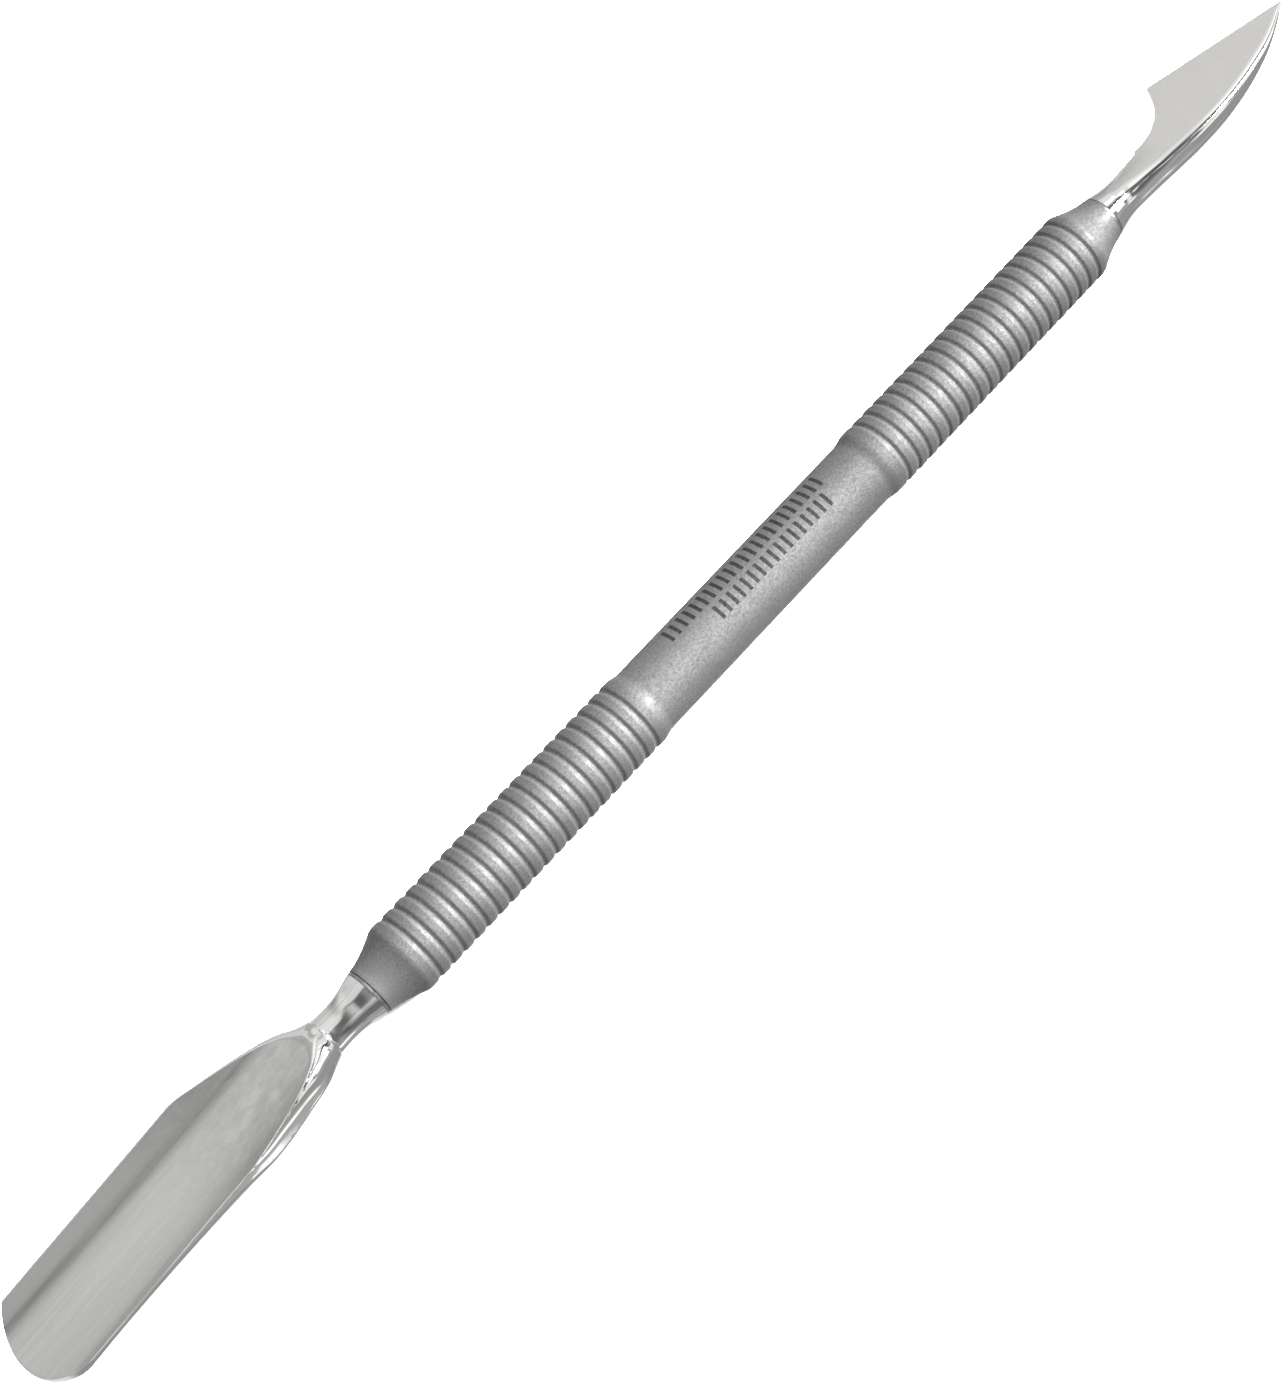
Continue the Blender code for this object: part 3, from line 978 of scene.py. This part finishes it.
def blasted_steel(name="blasted_steel", colours=BLASTED):
    """Bead-blasted steel: fine bright and dark grain, soft stains, and crests polished by handling. Painted
    shade makes it darker towards the knife, where the key light is strongest, and painted light makes the
    pusher's taper, next to its seam, paler."""
    finish = Finish(name)
    grain = finish.noise(6.0, 3.0, roughness=0.7)
    speck = finish.cells(7.5)
    stain = finish.noise(0.35, 3.0)
    crest = finish.ranged(finish.radius(), CREST_RADIUS - CREST_BAND, CREST_RADIUS, 0.03, 0.0)
    tone = finish.ranged(grain, 0.3, 0.7, -0.2, 0.2)
    tone = finish.math("ADD", tone, finish.ranged(speck, 0.0, 1.0, 0.25, 0.75))
    tone = finish.math("ADD", tone, finish.ranged(stain, 0.3, 0.7, -0.08, 0.08), clamp=True)
    # Painted shade: the colour darkens towards the knife's end, where the key light is strongest.
    tone = finish.math("SUBTRACT", tone, finish.along(0.0, HANDLE_HALF, 0.0, 0.4))
    # Painted light: paler on the pusher's taper next to its seam, which faces away from the key light.
    tone = finish.math("ADD", tone, finish.along(*PUSHER_TAPER_PAINTED_LIGHT, 0.55, 0.0))
    finish.colour(finish.mixed(tone, *colours))
    finish.roughness(finish.math("ADD", finish.ranged(speck, 0.0, 1.0, 0.78, 0.70), crest))
    finish.shader.inputs["Coat Weight"].default_value = GLAZE
    finish.shader.inputs["Coat Roughness"].default_value = GLAZE_ROUGHNESS
    coarse = finish.bump(finish.noise(2.2, 2.0), 0.008, 0.5)
    finish.bump(grain, 0.016, 1.0, under=coarse)
    return finish.material


def etched_steel():
    """The dark oxide of the etched ticks, on the same grain as the handle."""
    return blasted_steel("etched_steel", ETCHED)


def polished_steel():
    """Buffed steel: clear reflections, a little waviness and hairline scratches along the tool. The
    pusher's neck is buffed less."""
    finish = Finish("polished_steel")
    haze = finish.noise(0.8, 3.0)
    scratch = finish.noise(9.0, 2.0, stretch=(0.06, 1.0, 1.0))
    finish.colour(finish.mixed(haze, *POLISHED))
    neck = finish.along(*NECK_FADE_IN, 0.0, 0.09)
    neck = finish.math("SUBTRACT", neck, finish.along(*NECK_FADE_OUT, 0.0, 0.09))
    finish.roughness(finish.math("ADD", finish.ranged(scratch, 0.35, 0.75, 0.04, 0.09), neck))
    wave = finish.bump(finish.noise(0.6, 1.0), 0.01, 0.3)
    finish.bump(scratch, 0.0012, 0.4, under=wave)
    return finish.material


def hollow_ground_steel():
    """The pusher's face: satin streaks along the blade, with a cloudy patch near the root."""
    finish = Finish("hollow_ground_steel")
    streak = finish.noise(3.2, 3.0, stretch=(0.03, 1.0, 0.4))
    fine = finish.noise(14.0, 2.0, stretch=(0.04, 1.0, 1.0))
    cloud = finish.noise(1.1, 4.0, stretch=(0.6, 1.0, 1.0), roughness=0.65)
    near_root = finish.along(*CLOUD_FADE, 0.0, 1.0)
    cloudy = finish.math("MULTIPLY", near_root, finish.ranged(cloud, 0.35, 0.65, 0.0, 1.0))
    tone = finish.ranged(streak, 0.3, 0.7, 0.0, 1.0)
    tone = finish.math("ADD", tone, finish.ranged(fine, 0.3, 0.7, -0.2, 0.2))
    base = finish.mixed(tone, *HOLLOW_GROUND)
    finish.colour(finish.mixed(finish.math("MULTIPLY", cloudy, 0.9), base, HOLLOW_CLOUD))
    rough = finish.ranged(streak, 0.3, 0.7, 0.14, 0.20)
    finish.roughness(finish.math("ADD", rough, finish.math("MULTIPLY", cloudy, 0.08)))
    soft = finish.bump(cloud, 0.01, 0.25)
    finish.bump(fine, 0.0015, 0.5, under=soft)
    return finish.material


def flat_ground_steel():
    """The knife's face: a fine, even grind, with painted shade where it starts beside the spine."""
    finish = Finish("flat_ground_steel")
    fine = finish.noise(11.0, 2.0, stretch=(1.0, 0.08, 1.0))
    haze = finish.noise(0.7, 3.0)
    # Painted shade: the face darkens where it starts beside the spine, standing in for the round neck's
    # shading.
    start = finish.along(*FLAT_FACE_SHADE_FADE, 1.0, 0.0)
    start = finish.math("MULTIPLY", start, finish.ranged(finish.axis("Y"), -0.5, 0.4, 0.0, 0.9))
    base = finish.mixed(haze, *FLAT_GROUND)
    finish.colour(finish.mixed(start, base, FLAT_FACE_PAINTED_SHADE))
    finish.roughness(finish.ranged(fine, 0.3, 0.7, 0.27, 0.32))
    finish.bump(fine, 0.0002, 0.3)
    return finish.material


def braze_alloy():
    """Dull braze in the seams, darker where flux has stained it."""
    finish = Finish("braze_alloy")
    stain = finish.noise(2.5, 4.0)
    finish.colour(finish.mixed(stain, *BRAZE))
    finish.roughness(finish.ranged(stain, 0.3, 0.7, 0.30, 0.48))
    finish.bump(finish.noise(8.0, 3.0), 0.008, 0.5)
    return finish.material


# ---- Stage, light and camera ----

def make_floor():
    """A plain pale floor under the tool. The metal mirrors the studio's surround and not the floor."""
    drop = -CENTRE.z / MM
    corners = [(x * FLOOR_HALF, y * FLOOR_HALF, drop) for x, y in ((-1, -1), (1, -1), (1, 1), (-1, 1))]
    material = bpy.data.materials.new("pale_floor")
    material.use_nodes = True
    shader = material.node_tree.nodes["Principled BSDF"]
    shader.inputs["Base Color"].default_value = (*PALE, 1.0)
    shader.inputs["Roughness"].default_value = 0.95
    shader.inputs["Specular IOR Level"].default_value = 0.0
    mesh = bpy.data.meshes.new("floor")
    mesh.from_pydata([Vector(corner) * MM for corner in corners], [], [(0, 1, 2, 3)])
    mesh.materials.append(material)
    floor = bpy.data.objects.new("floor", mesh)
    floor.location = CENTRE
    floor.visible_glossy = False
    bpy.context.scene.collection.objects.link(floor)


# Studio surround: degrees from straight up towards -Y, and brightness there.
SURROUND = (
    (-180, 0.85), (-150, 0.95), (-122, 0.66), (-95, 0.64), (-60, 0.80), (-28, 0.92), (-12, 0.90),
    (3, 0.86), (9, 0.11), (45, 0.12), (62, 0.18), (76, 0.42), (114, 0.46), (128, 0.44), (145, 0.32),
    (168, 0.34), (180, 0.85),
)
# The surround is a little bluer between these degrees, low on the -Y side.
LOW_SIDE = (70, 170)
LOW_SIDE_BLUE = 1.07
# The edge of the bright overhead sheet leans: how far it moves, in degrees, between two slopes. A slope is
# the part of a direction that lies along the tool, from -1 at the pusher's end to 1 at the knife's.
SHEET_LEANS = ((-0.19, -0.10, -10.0), (-0.06, 0.08, 34.0), (0.35, 0.60, -20.0))
# Soft boxes and dark cards in the surround: whether one leans with the sheet, what it adds to the brightness,
# then the degrees and the slopes at which it starts, is full, is still full and ends.
PATCHES = (
    (True, 0.55, (10, 15, 50, 84), (-0.32, -0.19, -0.12, -0.02)),
    (False, -0.34, (-112, -85, -14, 12), (-0.04, 0.02, 0.06, 0.11)),
    (False, -0.12, (-120, -95, -5, 10), (-0.50, -0.42, -0.20, -0.10)),
    (False, 0.26, (60, 65, 73, 78), (-1.2, -1.1, -0.10, 0.30)),
    (False, -0.28, (84, 90, 116, 128), (-1.2, -1.1, 0.00, 0.35)),
    (False, 0.40, (60, 80, 160, 180), (-1.2, -1.1, -0.70, -0.50)),
    (False, 0.28, (-20, -8, 14, 22), (0.36, 0.42, 0.50, 0.54)),
    (False, 0.45, (-20, -8, 14, 22), (0.56, 0.62, 1.10, 1.20)),
    (False, -0.25, (-110, -92, -58, -44), (0.45, 0.52, 0.70, 0.80)),
    (False, 0.75, (52, 55, 62, 65), (0.38, 0.42, 0.48, 0.51)),
    (False, 0.90, (84, 87, 92, 95), (0.46, 0.52, 0.62, 0.70)),
    (False, -0.10, (96, 104, 130, 140), (0.36, 0.50, 0.90, 1.10)),
    (False, 1.10, (128, 132, 138, 143), (0.05, 0.12, 0.36, 0.46)),
    (False, 1.00, (147, 149, 152, 155), (0.10, 0.15, 0.30, 0.33)),
    (False, 1.60, (60, 63, 75, 80), (0.70, 0.76, 0.90, 0.94)),
    (False, 0.90, (20, 30, 62, 74), (0.79, 0.84, 1.10, 1.20)),
    (False, 0.70, (40, 46, 76, 86), (0.54, 0.565, 0.64, 0.68)),
    (False, 0.85, (16, 24, 46, 54), (0.28, 0.31, 0.37, 0.40)),
    (False, 0.50, (-170, -150, 150, 170), (0.92, 0.97, 1.1, 1.2)),
)


def world_band(nodes, value, marks):
    """One between the two inner marks, falling softly to zero at the outer ones."""
    rise = nodes.ranged(value, marks[0], marks[1], 0.0, 1.0, "SMOOTHSTEP")
    fall = nodes.ranged(value, marks[2], marks[3], 1.0, 0.0, "SMOOTHSTEP")
    return nodes.math("MULTIPLY", rise, fall)


def leaning_sheet(nodes, angle, along_tool):
    """The angle around the tool, moved as the edge of the overhead sheet leans."""
    for start, end, lean in SHEET_LEANS:
        angle = nodes.math("SUBTRACT", angle, nodes.ranged(along_tool, start, end, 0.0, lean))
    return angle


def surround_colour(nodes, angle):
    """Colour of the surround, before its soft boxes and cards, at an angle in degrees."""
    ramp = nodes.add("ShaderNodeValToRGB")
    nodes.feed(ramp.inputs["Fac"], nodes.math("ADD", nodes.math("DIVIDE", angle, 360.0), 0.5))
    elements = ramp.color_ramp.elements
    while len(elements) > 1:
        elements.remove(elements[-1])
    elements[0].position = 0.0
    for i, (degrees, value) in enumerate(SURROUND):
        element = elements[0] if i == 0 else elements.new((degrees + 180.0) / 360.0)
        blue = value * (LOW_SIDE_BLUE if LOW_SIDE[0] < degrees < LOW_SIDE[1] else 1.0)
        element.color = (value, value, blue, 1.0)
    return ramp.outputs["Color"]


def make_world():
    """Soft studio surround: brightness depends on the direction around the tool's axis and along it."""
    world = bpy.data.worlds.new("studio")
    world.use_nodes = True
    nodes = Nodes(world.node_tree)
    split = nodes.add("ShaderNodeSeparateXYZ")
    nodes.feed(split.inputs[0], nodes.add("ShaderNodeTexCoord").outputs["Generated"])
    along_tool = split.outputs["X"]
    turned = nodes.math("MULTIPLY", split.outputs["Y"], -1.0)
    angle = nodes.math("ARCTAN2", turned, split.outputs["Z"])
    angle = nodes.math("MULTIPLY", angle, 180.0 / math.pi)
    leaning = leaning_sheet(nodes, angle, along_tool)
    total = surround_colour(nodes, leaning)
    for leans, brightness, angles, slopes in PATCHES:
        around = world_band(nodes, leaning if leans else angle, angles)
        lengthwise = world_band(nodes, along_tool, slopes)
        patch = nodes.math("MULTIPLY", around, lengthwise)
        total = nodes.math("ADD", total, nodes.math("MULTIPLY", patch, brightness))
    nodes.feed(world.node_tree.nodes["Background"].inputs["Color"], total)
    bpy.context.scene.world = world


def area_light(name, degrees, slope, distance, size, power):
    """A soft box that faces the handle's middle. Degrees count from straight up towards -Y, and slope is
    the angle in degrees by which it stands towards the knife's end."""
    light = bpy.data.lights.new(name, "AREA")
    light.shape = "RECTANGLE"
    light.size = size[0] * MM
    light.size_y = size[1] * MM
    light.energy = power
    item = bpy.data.objects.new(name, light)
    around = math.radians(degrees)
    lengthwise = math.radians(slope)
    ring = math.cos(lengthwise)
    back = Vector((math.sin(lengthwise), -math.sin(around) * ring, math.cos(around) * ring))
    item.location = CENTRE + back * distance * MM
    up = back.cross(Vector((1.0, 0.0, 0.0))).normalized()
    side = up.cross(back)
    item.rotation_mode = "QUATERNION"
    item.rotation_quaternion = Matrix((side, up, back)).transposed().to_quaternion()
    bpy.context.scene.collection.objects.link(item)
    return item


def make_lights():
    """The key, on the knife's side, and a broad soft box overhead that metal doesn't mirror."""
    area_light("key", *KEY_LIGHT)
    fill = area_light("floor_fill", *FLOOR_LIGHT)
    fill.visible_glossy = False


def make_camera():
    """The camera, at the angle and distance that show the tool as a long diagonal."""
    swing_c = math.cos(CAMERA_SWING)
    swing_s = math.sin(CAMERA_SWING)
    roll_c = math.cos(CAMERA_ROLL)
    roll_s = math.sin(CAMERA_ROLL)
    along_axis = Vector((swing_c, -swing_s * roll_s, swing_s * roll_c))
    across_axis = Vector((0.0, -roll_c, -roll_s))
    away = Vector((swing_s, swing_c * roll_s, -swing_c * roll_c))
    turn_c = math.cos(CAMERA_TURN)
    turn_s = math.sin(CAMERA_TURN)
    right = along_axis * turn_c + across_axis * turn_s
    up = along_axis * turn_s - across_axis * turn_c
    data = bpy.data.cameras.new("camera")
    data.sensor_fit = "AUTO"
    data.sensor_width = SENSOR_WIDTH
    data.lens = CAMERA_LENS
    data.shift_x, data.shift_y = CAMERA_SHIFT
    data.clip_start = 0.01
    camera = bpy.data.objects.new("camera", data)
    camera.rotation_mode = "QUATERNION"
    camera.rotation_quaternion = Matrix((right, up, -away)).transposed().to_quaternion()
    camera.location = CENTRE - away * CAMERA_DISTANCE * MM
    bpy.context.scene.collection.objects.link(camera)
    bpy.context.scene.camera = camera


def place(piece, node, slot):
    """Make a finished piece stand for its CAD node, on the tool's one body."""
    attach(piece, "root")
    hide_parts(node)


def main():
    """Make the tool's fine pieces, the stage, the lights and the camera."""
    blasted = blasted_steel()
    polished = polished_steel()
    braze = braze_alloy()
    place(make_handle(blasted, etched_steel()), "handle_tube", "blasted_steel")
    place(make_seam_ring("pusher_braze", -1, PUSHER_NECK[0][1], braze), "pusher_seam_ring", "braze_alloy")
    place(make_seam_ring("knife_braze", 1, KNIFE_BLANK[0][3], braze), "knife_seam_ring", "braze_alloy")
    place(make_pusher(polished, hollow_ground_steel()), "pusher_end", "polished_steel")
    place(make_knife(polished, flat_ground_steel()), "knife_end", "polished_steel")
    make_floor()
    make_world()
    make_lights()
    make_camera()
    bpy.context.scene.view_settings.view_transform = "Standard"


main()
